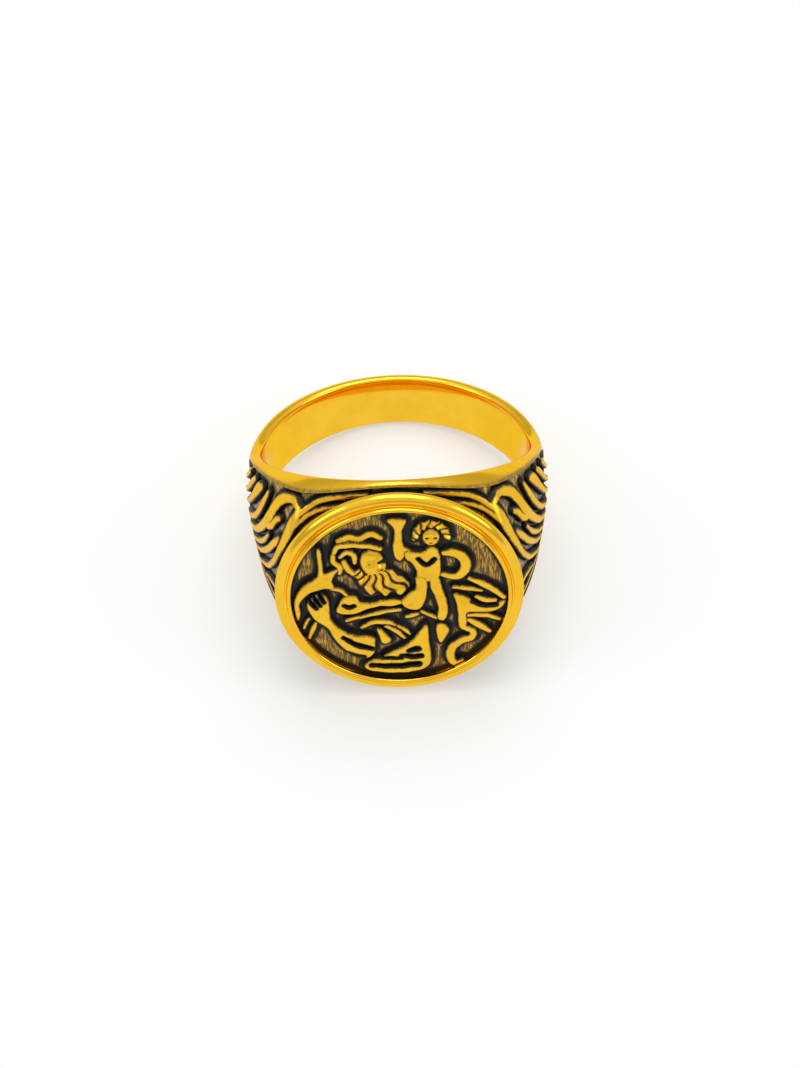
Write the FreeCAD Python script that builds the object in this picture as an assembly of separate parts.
import FreeCAD, Part

import math
import os

from FreeCAD import Vector

# Signet ring. All lengths are millimetres, all angles degrees.
# The ring is drawn in its own frame (finger hole along Z, face towards -Y) and is then
# laid down the way it rests on a table: on the lower rim of its face and on the back of the hoop.

# Hoop
BORE_R = 9.9            # finger hole, US size 10
REST_TILT = 16.6        # lean of the finger axis when the ring lies on its side
SHOULDER_TANGENT = 75.0 # angle from the face where the shoulder line leaves the hoop
CROWN_R = 11.5          # radius of the crown at the sides
CROWN_BACK_R = 11.25    # radius of the crown at the back
CORNER_R = 10.9         # radius of the side-face corner at the sides
CORNER_FRONT_R = 12.9   # the same, towards the face
CORNER_BACK_R = 10.72   # the same, at the back
LOFT_STEP = 10          # angle between the sections that the hoop is lofted through
HEAD_FLAT = 12.3        # distance from the finger axis to the seat of the medallion
CORNER_FLAT = 10.86     # distance from the finger axis to the side-face corner at the front
EDGE_BREAK = 0.12       # small bevel on every long edge
ARCH_STEPS = 6          # flats across the domed outside
SKIN_REACH = 1.12       # how far the panel floor is drawn past the side faces

# Sunk panels on the shoulders
PANEL_DEPTH = 0.42
PANEL_RAIL = 0.16
PANEL_START = 0.0
PANEL_TAPER = 80.0
PANEL_END = 101.0
ENAMEL = 0.08
SEAT_R = 7.9            # drum that stands between the panels and carries the medallion
DRUM_FROM = 9.0         # its foot, inside the metal of the hoop

# Face
BEAD_R = 8.75           # centre circle of the outer bead
BEAD_TUBE = 0.5
BEAD_Y = -13.0
BEAD_FROM = -45         # the bead is turned as short cones between these two angles
BEAD_TO = 119
BEAD_STEP = 41
FIELD_R = 8.05
FIELD_Y = -13.1
LIP_R = 8.22
LIP_Y = -13.84
LIP_STEP = 0.14
FLATNESS = 0.07         # how far a drawn edge may leave its curve

# Closed outlines of the raised group, (x, z) on the face, then the height above the field.
FORMS = {
    "staff": (0.5, [(-5.98, 4.6), (-5.93, 2.75), (-6.1, 1.95), (-6.8, 1.45), (-7.4, 0.8), (-7.75, 0.0),
                    (-7.85, -0.9), (-7.65, -2.1), (-7.4, -1.5), (-7.45, -0.6), (-7.05, 0.1), (-6.4, 0.6),
                    (-5.6, 0.85), (-4.85, 0.9), (-4.95, 1.6), (-4.7, 2.2), (-4.4, 2.75), (-5.05, 2.5),
                    (-5.52, 2.35), (-5.6, 3.6), (-5.72, 4.6)]),
    "arm": (0.58, [(-6.9, -0.6), (-6.55, -1.7), (-6.05, -2.35), (-5.4, -2.95), (-5.05, -3.8), (-4.55, -4.6),
                   (-3.9, -5.35), (-3.05, -5.85), (-2.45, -5.85), (-2.05, -5.4), (-1.95, -4.6), (-2.05, -3.9),
                   (-3.2, -3.75), (-4.1, -3.35), (-4.85, -2.6), (-5.2, -1.9), (-5.22, -1.0), (-5.3, -0.2),
                   (-5.65, 0.35), (-6.1, 0.4), (-6.5, 0.05)]),
    "collar": (0.5, [(-4.7, -1.45), (-4.55, -0.7), (-4.25, -0.15), (-3.7, 0.12), (-3.15, 0.0), (-2.95, -0.5),
                     (-2.1, -0.6), (-1.2, -0.4), (-0.2, -0.35), (0.3, -0.7), (-0.4, -0.95), (-1.6, -0.98),
                     (-2.6, -1.3), (-3.6, -1.68)]),
    "knee": (0.55, [(1.98, -2.9), (1.5, -3.3), (0.95, -4.15), (0.1, -4.95), (-1.3, -5.72), (-1.2, -6.0),
                    (-2.2, -6.15), (-2.85, -6.7), (-2.3, -7.2), (-0.8, -7.45), (0.8, -7.4), (1.9, -6.95),
                    (2.2, -6.1), (2.1, -4.6)]),
    "tunic": (0.52, [(-1.8, -3.05), (-1.35, -3.35), (-0.75, -4.2), (-1.05, -4.6), (-1.45, -4.5), (-1.65, -3.8)]),
    "torch": (0.45, [(-0.7, 7.2), (-0.25, 6.4), (-0.2, 5.5), (-0.35, 4.6), (-0.2, 3.6), (0.2, 3.3),
                     (0.6, 3.9), (1.0, 4.2), (0.45, 4.75), (0.38, 6.1), (0.68, 7.15)]),
    "child_body": (0.55, [(0.55, 4.2), (1.9, 4.1), (2.2, 4.5), (2.75, 4.5), (3.05, 4.0), (3.15, 3.0),
                          (3.0, 1.7), (2.3, 1.35), (1.4, 1.5), (1.35, 2.3), (1.0, 3.1), (0.6, 3.5)]),
    "child_leg_left": (0.6, [(1.25, 1.8), (2.0, 1.7), (2.1, 0.7), (1.9, -0.5), (1.4, -1.3), (0.6, -1.2),
                             (0.1, -0.55), (0.6, 0.1), (1.25, 0.8)]),
    "child_leg_right": (0.55, [(2.4, 1.7), (2.95, 1.7), (3.2, 0.6), (3.5, -0.6), (3.55, -1.8), (3.2, -2.5),
                               (2.75, -2.25), (2.85, -1.3), (2.6, -0.1), (2.3, 0.8)]),
    "calf": (0.4, [(2.7, -3.0), (3.3, -2.95), (3.6, -3.6), (3.25, -4.4), (2.9, -4.75), (2.65, -3.9)]),
    "beard": (0.5, [(-3.0, 1.9), (-2.7, 1.1), (-2.1, 0.3), (-1.6, 0.5), (-1.1, 0.2), (-0.65, 0.5),
                    (-0.1, 0.3), (0.5, 0.55), (0.55, 1.1), (0.1, 1.7), (-0.7, 2.3), (-1.8, 1.6)]),
    "head": (0.6, [(-3.0, 3.3), (-2.6, 4.25), (-1.8, 4.6), (-1.0, 4.2), (-0.7, 3.2), (-0.85, 2.1),
                   (-1.5, 1.45), (-2.4, 1.6), (-2.95, 2.4)]),
    "child_head": (0.62, [(1.75, 5.4), (1.95, 6.05), (2.5, 6.3), (3.05, 6.05), (3.25, 5.4), (3.05, 4.8),
                          (2.5, 4.5), (1.95, 4.8)]),
    "cloak": (0.5, [(4.05, -0.05), (4.9, -0.3), (5.5, -0.85), (6.2, -1.15), (7.1, -1.1), (7.85, -0.75),
                    (7.5, -1.5), (6.6, -1.85), (5.4, -1.8), (4.95, -1.95), (4.95, -2.8), (4.75, -3.5),
                    (4.35, -3.2), (4.3, -2.0), (4.2, -0.9)]),
}

# Raised strokes, (x, z, width) along each centre line, then the height above the field.
STROKES = {
    "cuff_2": (0.4, [(-6.3, -2.45, 0.24), (-6.55, -3.1, 0.36), (-6.85, -3.9, 0.22)]),
    "belt": (0.45, [(-4.0, -2.25, 0.28), (-2.4, -1.85, 0.32), (-1.0, -1.5, 0.34), (0.0, -1.4, 0.3)]),
    "fan_1": (0.45, [(-2.9, -3.0, 0.28), (-2.1, -2.55, 0.4), (-1.0, -2.55, 0.4), (-0.4, -2.85, 0.24)]),
    "fan_2": (0.45, [(-1.1, -2.95, 0.26), (-0.4, -3.4, 0.4), (0.25, -4.1, 0.26)]),
    "hair_band": (0.6, [(-4.7, 4.35, 0.34), (-4.4, 4.9, 0.42), (-3.5, 5.02, 0.46), (-2.3, 4.92, 0.46),
                        (-1.3, 4.62, 0.38)]),
    "cap": (0.34, [(-4.35, 5.3, 0.4), (-3.6, 5.6, 0.55), (-2.8, 5.45, 0.5), (-1.9, 5.85, 0.55),
                   (-1.25, 5.45, 0.45)]),
    "lock_1": (0.5, [(-4.8, 4.0, 0.36), (-4.75, 3.4, 0.42), (-4.3, 2.9, 0.42), (-4.35, 2.35, 0.3)]),
    "lock_2": (0.5, [(-4.25, 3.85, 0.3), (-3.75, 4.3, 0.42), (-3.25, 4.0, 0.44), (-3.2, 3.3, 0.3)]),
    "lock_3": (0.5, [(-4.0, 3.4, 0.4), (-3.75, 2.7, 0.46), (-3.2, 2.1, 0.4)]),
    "child_hair": (0.5, [(1.3, 5.35, 0.45), (1.55, 6.15, 0.6), (2.1, 6.6, 0.62), (2.9, 6.6, 0.62),
                         (3.45, 6.15, 0.6), (3.75, 5.35, 0.45)]),
    "child_arm": (0.5, [(3.3, 1.9, 0.4), (4.2, 1.65, 0.55), (4.8, 2.1, 0.72), (5.0, 2.9, 0.8),
                        (4.7, 3.6, 0.8), (4.1, 3.95, 0.75), (3.45, 3.95, 0.5)]),
    "cloak_top": (0.42, [(5.2, 1.35, 0.26), (6.0, 0.95, 0.5), (6.9, 0.3, 0.5), (7.75, -0.5, 0.4)]),
    "cloak_mid": (0.42, [(4.05, 0.58, 0.28), (5.0, 0.45, 0.4), (6.1, 0.2, 0.26)]),
    "cloak_tail": (0.42, [(5.1, -2.15, 0.34), (6.3, -2.2, 0.44), (7.5, -2.65, 0.3)]),
    "cloak_hem": (0.42, [(5.1, -2.6, 0.36), (5.8, -3.1, 0.6), (6.6, -3.75, 0.34)]),
    "volute": (0.5, [(4.75, -3.3, 0.4), (5.35, -3.65, 0.5), (5.25, -4.25, 0.55), (4.4, -4.6, 0.6),
                     (3.75, -5.3, 0.66), (3.65, -6.2, 0.62), (4.05, -6.8, 0.5), (4.5, -6.5, 0.3)]),
}

# Scroll strokes of one shoulder, (angle from the face, z, width) along each centre line.
SCROLLS = [
    [(11, 7.62, 0.3), (20, 7.42, 0.44), (28, 6.98, 0.48), (35, 5.6, 0.5)],
    [(21, 6.72, 0.24), (27, 6.4, 0.4), (31, 5.85, 0.42), (34.5, 4.9, 0.4)],
    [(34, 6.0, 0.6), (35.5, 5.0, 0.85), (37, 3.86, 0.8), (39.5, 2.5, 0.66), (45, 0.3, 0.56),
     (53.5, -1.8, 0.54), (62, -3.0, 0.46), (69, -3.75, 0.26)],
    [(34.5, 6.2, 0.5), (38, 6.5, 0.6), (43, 5.95, 0.82), (46.5, 5.0, 0.9), (51, 3.3, 0.96), (58, 1.35, 0.84),
     (69, -0.75, 0.66), (80, -1.9, 0.5), (88, -2.5, 0.26)],
    [(42.5, 4.45, 0.4), (45, 3.95, 0.55), (48, 3.0, 0.6), (52, 2.3, 0.6)],
    [(41.5, 3.0, 0.36), (44, 2.2, 0.6), (52.5, 0.0, 0.62), (63, -1.9, 0.52), (70, -2.7, 0.46), (77, -3.3, 0.24)],
    [(50.5, 1.75, 0.36), (57, 0.1, 0.52), (66, -1.45, 0.5), (75, -2.45, 0.4), (82, -2.9, 0.22)],
    [(54, 5.0, 0.42), (56.5, 4.0, 0.6), (62.5, 2.1, 0.66), (71.5, 0.1, 0.58), (83, -1.25, 0.44), (91, -1.95, 0.24)],
    [(60.5, 4.5, 0.5), (64, 3.95, 0.92), (68, 3.0, 0.92), (73, 1.75, 0.68), (79.5, 0.4, 0.54), (89, -0.9, 0.26)],
    [(70, 3.9, 0.5), (74.5, 2.95, 0.66), (80, 1.65, 0.56), (86, 0.5, 0.44), (94, -0.5, 0.24)],
    [(80, 3.05, 0.4), (84.5, 2.15, 0.54), (90, 1.15, 0.42), (96, 0.3, 0.24)],
    [(10.5, -7.73, 0.28), (20, -7.5, 0.44), (29, -6.9, 0.52), (37, -6.1, 0.66), (45, -5.6, 0.76),
     (54, -5.0, 0.64), (64, -4.25, 0.5), (73, -3.5, 0.28)],
    [(20.5, -6.55, 0.24), (27, -5.95, 0.46), (33, -4.9, 0.66), (38, -4.1, 0.74), (44, -3.9, 0.7),
     (50, -4.2, 0.4)],
    [(36, -1.0, 0.34), (39, -2.0, 0.62), (45, -2.7, 0.62), (54, -3.35, 0.5), (61, -3.9, 0.26)],
    [(73, -3.25, 0.26), (80, -2.75, 0.4), (87, -2.1, 0.36), (94, -1.3, 0.24)],
]


def soft_min(a, b, width):
    """The smaller of two lengths, with a smooth change-over."""
    low = min(a, b)
    return low - width * math.log(math.exp(-(a - low) / width) + math.exp(-(b - low) / width))


def soft_max(a, b, width):
    """The larger of two lengths, with a smooth change-over."""
    return -soft_min(-a, -b, width)


def ellipse_radius(angle, side, front):
    """Distance from the centre to an ellipse."""
    return 1.0 / math.sqrt((math.sin(angle) / side) ** 2 + (math.cos(angle) / front) ** 2)


def half_width(angle):
    """Half the width of the hoop along the finger axis."""
    depth = -BORE_R * math.cos(angle)
    return soft_max(3.2 - 0.525 * depth, 2.72 - 0.055 * depth, 0.35)


def corner_radius(angle):
    """Radius where the flat side face meets the domed outside."""
    towards_face = math.cos(angle)
    end = CORNER_FRONT_R if towards_face > 0 else CORNER_BACK_R
    radius = ellipse_radius(angle, CORNER_R, end)
    if towards_face > 0.05:
        radius = soft_min(radius, CORNER_FLAT / towards_face, 0.8)
    return radius + 0.05


def crown_radius(angle):
    """Radius of the outside half way across the hoop."""
    turn = abs(math.remainder(angle, 2 * math.pi))
    tangent = math.radians(SHOULDER_TANGENT)
    if turn < tangent:
        radius = CROWN_R / math.cos(tangent - turn)
    else:
        radius = ellipse_radius(turn, CROWN_R, CROWN_BACK_R)
    if math.cos(turn) > 0.05:
        radius = soft_min(radius, HEAD_FLAT / math.cos(turn), 0.3)
    return radius


def at(angle, radius, z):
    """A point at an angle from the face."""
    return Vector(radius * math.sin(angle), -radius * math.cos(angle), z)


def dome(angle, across, sink=0.0):
    """Radius of the domed outside; across runs from -1 to 1 over the width."""
    corner = corner_radius(angle)
    return corner + (crown_radius(angle) - corner) * (1 - across * across) - sink


def arch(angle, wide, reach, sink):
    """Points across the domed outside at one angle, from +reach to -reach of the half width."""
    shares = [reach * (1 - 2 * step / ARCH_STEPS) for step in range(ARCH_STEPS + 1)]
    return [at(angle, dome(angle, share, sink), share * wide) for share in shares]


def closed(points):
    """Straight-sided closed outline."""
    return Part.makePolygon(points + points[:1])


def hoop_section(angle):
    """D-shaped section of the hoop, its inner side left proud for the bore to trim."""
    wide = half_width(angle)
    side = corner_radius(angle) - EDGE_BREAK
    inner = BORE_R - 0.35
    flank = [(inner, wide - 0.35 - EDGE_BREAK), (BORE_R + EDGE_BREAK, wide), (side, wide)]
    upper = [at(angle, radius, z) for radius, z in flank]
    lower = [at(angle, radius, -z) for radius, z in reversed(flank)]
    return closed(upper + arch(angle, wide, 1 - EDGE_BREAK / wide, 0) + lower)


def skin_section(angle, sink):
    """Section of the solid whose outside lies sink below the dome."""
    wide = half_width(angle)
    inner = BORE_R - 1.5
    foot = [at(angle, inner, -SKIN_REACH * wide), at(angle, inner, SKIN_REACH * wide)]
    return closed(foot + arch(angle, wide, SKIN_REACH, sink))


def panel_section(angle, low, high):
    """Section of the cutter that bounds a sunk panel between its two rails."""
    degrees = math.degrees(angle)
    height = half_width(angle) - PANEL_RAIL
    if degrees > PANEL_TAPER:
        run = (degrees - PANEL_TAPER) / (PANEL_END - PANEL_TAPER)
        height *= math.sqrt(1 - run * run)
    return closed([at(angle, low, -height), at(angle, high, -height), at(angle, high, height),
                   at(angle, low, height)])


def right_half(section):
    """Loft a radial section straight-sided from the middle of the face round to the back."""
    wires = [section(math.radians(degrees)) for degrees in range(0, 181, LOFT_STEP)]
    return Part.makeLoft(wires, True, True)


def outline(points):
    """A closed outline, rounded between the points that are given and drawn with short edges."""
    curve = Part.BSplineCurve()
    curve.interpolate(Points=points, PeriodicFlag=True)
    corners = curve.discretize(Deflection=FLATNESS)
    return closed(corners[:-1])


def ribbon(line):
    """Closed outline of a stroke with rounded ends, from (u, v, width) points."""
    left = []
    right = []
    for index, (u, v, width) in enumerate(line):
        before = line[max(index - 1, 0)]
        after = line[min(index + 1, len(line) - 1)]
        run = (after[0] - before[0], after[1] - before[1])
        length = math.hypot(*run)
        normal = (-run[1] / length, run[0] / length)
        half = width / 2
        left.append((u + normal[0] * half, v + normal[1] * half))
        right.append((u - normal[0] * half, v - normal[1] * half))
    caps = []
    for end, neighbour in ((line[-1], line[-2]), (line[0], line[1])):
        run = (end[0] - neighbour[0], end[1] - neighbour[1])
        length = math.hypot(*run)
        reach = end[2] / 2
        caps.append((end[0] + run[0] / length * reach, end[1] + run[1] / length * reach))
    return left + [caps[0]] + right[::-1] + [caps[1]]


def raised(points, height):
    """A form standing on the field inside a smooth outline."""
    foot = Part.Face(outline([Vector(x, FIELD_Y, z) for x, z in points]))
    return foot.extrude(Vector(0, -height, 0))


def build_relief():
    """Every raised form and stroke of the figure group."""
    solids = [raised(points, height) for height, points in FORMS.values()]
    solids += [raised(ribbon(line), height) for height, line in STROKES.values()]
    return solids


def build_bezel():
    """Turned rim: bead, groove and lip in one profile revolved about the face's axis."""
    profile = [(FIELD_R, -HEAD_FLAT), (BEAD_R - 0.15, -HEAD_FLAT)]
    for degrees in range(BEAD_FROM, BEAD_TO + 1, BEAD_STEP):
        turn = math.radians(degrees)
        profile.append((BEAD_R + BEAD_TUBE * math.cos(turn), BEAD_Y - BEAD_TUBE * math.sin(turn)))
    profile.append((LIP_R + 0.18, BEAD_Y - 0.4))
    profile.append((LIP_R + LIP_STEP, LIP_Y + LIP_STEP))
    profile.append((LIP_R, LIP_Y))
    profile.append((FIELD_R, LIP_Y + LIP_STEP))
    corners = [Vector(radius, y, 0) for radius, y in profile]
    return Part.Face(closed(corners)).revolve(Vector(0, 0, 0), Vector(0, 1, 0), 360)


def build_medallion(relief):
    """Plate filling the rim, with the figure group fused on."""
    plate = Part.makeCylinder(FIELD_R, abs(FIELD_Y + HEAD_FLAT), Vector(0, FIELD_Y, 0), Vector(0, 1, 0))
    figures = relief[0].multiFuse(relief[1:])
    return plate.fuse(figures).removeSplitter()


def build_field_enamel(relief):
    """Black fill on the plate, flowing round every raised form."""
    layer = Part.makeCylinder(FIELD_R, ENAMEL, Vector(0, FIELD_Y - ENAMEL, 0), Vector(0, 1, 0))
    return layer.cut(relief)


def scroll_prism(line):
    """One scroll stroke as a prism that points out through the right shoulder."""
    heading = math.radians(52)
    aim = Vector(math.sin(heading), -math.cos(heading), 0)
    middle = 12.0
    unrolled = [(math.radians(degrees) * middle, z, width) for degrees, z, width in line]
    foot = []
    for run, z in ribbon(unrolled):
        angle = run / middle
        across = max(-1.0, min(1.0, z / half_width(angle)))
        point = at(angle, dome(angle, across), z)
        foot.append(point - aim * (point.dot(aim) - 4.0))
    return Part.Face(outline(foot)).extrude(aim * 14.0)


def build_shoulder(drum):
    """Right shoulder: panel cutter, raised scrolls and the black fill between them."""
    angles = [PANEL_START, 10, 20, 31, 42, 54, 67, PANEL_TAPER, 86, 91, 95.5, 98.5, 100, 100.8]
    zone = Part.makeLoft([panel_section(math.radians(d), 9, 18) for d in angles], True, True).cut(drum)
    core = right_half(lambda angle: skin_section(angle, PANEL_DEPTH))
    film = right_half(lambda angle: skin_section(angle, PANEL_DEPTH - ENAMEL))
    cutter = zone.cut(core)
    prisms = [scroll_prism(line) for line in SCROLLS]
    strokes = prisms[0].multiFuse(prisms[1:])
    return cutter, strokes, zone.common(film).cut(core)


def mirrored(shape):
    """The same shape on the left shoulder."""
    return shape.mirror(Vector(0, 0, 0), Vector(1, 0, 0))


def build_parts():
    """All pieces of the ring in its own frame."""
    half = right_half(hoop_section)
    bore = Part.makeCylinder(BORE_R, 40, Vector(0, 0, -20))
    drum = Part.makeCylinder(SEAT_R, HEAD_FLAT - DRUM_FROM, Vector(0, -DRUM_FROM, 0), Vector(0, -1, 0))
    blank = half.multiFuse([mirrored(half), drum]).removeSplitter().cut(bore)
    cutter, strokes, fill = build_shoulder(drum)
    scrolls = blank.common(cutter).cut(fill).common(strokes)
    shank = blank.cut(cutter).cut(mirrored(cutter))
    relief = build_relief()
    medallion = build_medallion(relief)
    return {
        "shank": shank,
        "bezel_rim": build_bezel(),
        "medallion": medallion,
        "enamel_medallion": build_field_enamel(relief),
        "scrollwork_right": scrolls,
        "scrollwork_left": mirrored(scrolls),
        "enamel_right": fill,
        "enamel_left": mirrored(fill),
    }


def laid_down(parts):
    """Tip the ring onto its face rim and hoop back, then centre it above the origin."""
    axis = Vector(1, 0, 0)
    for shape in parts.values():
        shape.rotate(Vector(0, 0, 0), axis, -REST_TILT)
    box = Part.makeCompound(list(parts.values())).optimalBoundingBox(False, False)
    for shape in parts.values():
        shape.translate(Vector(0, -(box.YMin + box.YMax) / 2, -box.ZMin))
    return parts


def main():
    os.makedirs("parts", exist_ok=True)
    for name, shape in laid_down(build_parts()).items():
        shape.exportStep("parts/" + name + ".step")


main()
